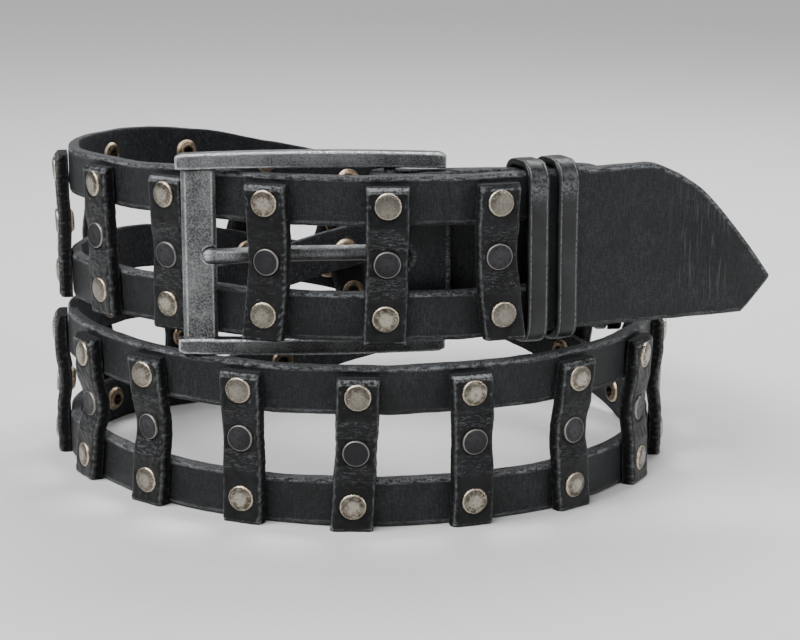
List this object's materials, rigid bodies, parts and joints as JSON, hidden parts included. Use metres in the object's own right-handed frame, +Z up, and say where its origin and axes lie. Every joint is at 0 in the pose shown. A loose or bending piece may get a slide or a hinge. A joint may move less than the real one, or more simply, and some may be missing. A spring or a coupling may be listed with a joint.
{
  "type": "studded belt",
  "caption": "Studded leather ladder belt, fastened by its plain prong buckle and lying wound in two stacked turns.",
  "frame": {"origin": "on the resting plane under the middle of the belt's box", "axes": "+Z up across the strap's width, +Y away from the buckle, +X towards the strap's pointed end"},
  "size_m": [0.2358, 0.1868, 0.1123],
  "materials": {
    "strap_leather": "black leather with a fine upright grain, worn lighter along its cut edges",
    "rung_leather": "thick black leather bars, creased round the rivets, raw at the sides",
    "rivet_metal": "antique nickel rivet caps with a darker middle row",
    "buckle_metal": "aged grey metal, speckled, bright along its edges"
  },
  "bodies": {
    "root": {"strap_tip": "strap_leather", "strip_lower_1": "strap_leather", "strip_upper_1": "strap_leather", "strip_lower_2": "strap_leather", "strip_upper_2": "strap_leather", "strip_lower_3": "strap_leather", "strip_upper_3": "strap_leather", "strap_tab": "strap_leather", "rung_01": "rung_leather", "rung_02": "rung_leather", "rung_03": "rung_leather", "rung_04": "rung_leather", "rung_05": "rung_leather", "rung_06": "rung_leather", "rung_07": "rung_leather", "rung_08": "rung_leather", "rung_09": "rung_leather", "rung_10": "rung_leather", "rung_11": "rung_leather", "rung_12": "rung_leather", "rung_13": "rung_leather", "rung_14": "rung_leather", "rung_15": "rung_leather", "rung_16": "rung_leather", "rung_17": "rung_leather", "rung_18": "rung_leather", "rung_19": "rung_leather", "rung_20": "rung_leather", "rung_21": "rung_leather", "rung_22": "rung_leather", "rung_23": "rung_leather", "rung_24": "rung_leather", "rung_25": "rung_leather", "rung_26": "rung_leather", "rung_27": "rung_leather", "rung_28": "rung_leather", "rung_29": "rung_leather", "rung_30": "rung_leather", "rung_31": "rung_leather", "rung_32": "rung_leather", "buckle_frame": "buckle_metal", "prong": "buckle_metal", "keeper_1": "strap_leather", "keeper_2": "strap_leather", "tab_rivet_1": "rivet_metal", "tab_rivet_2": "rivet_metal"}
  },
  "joints": []
}
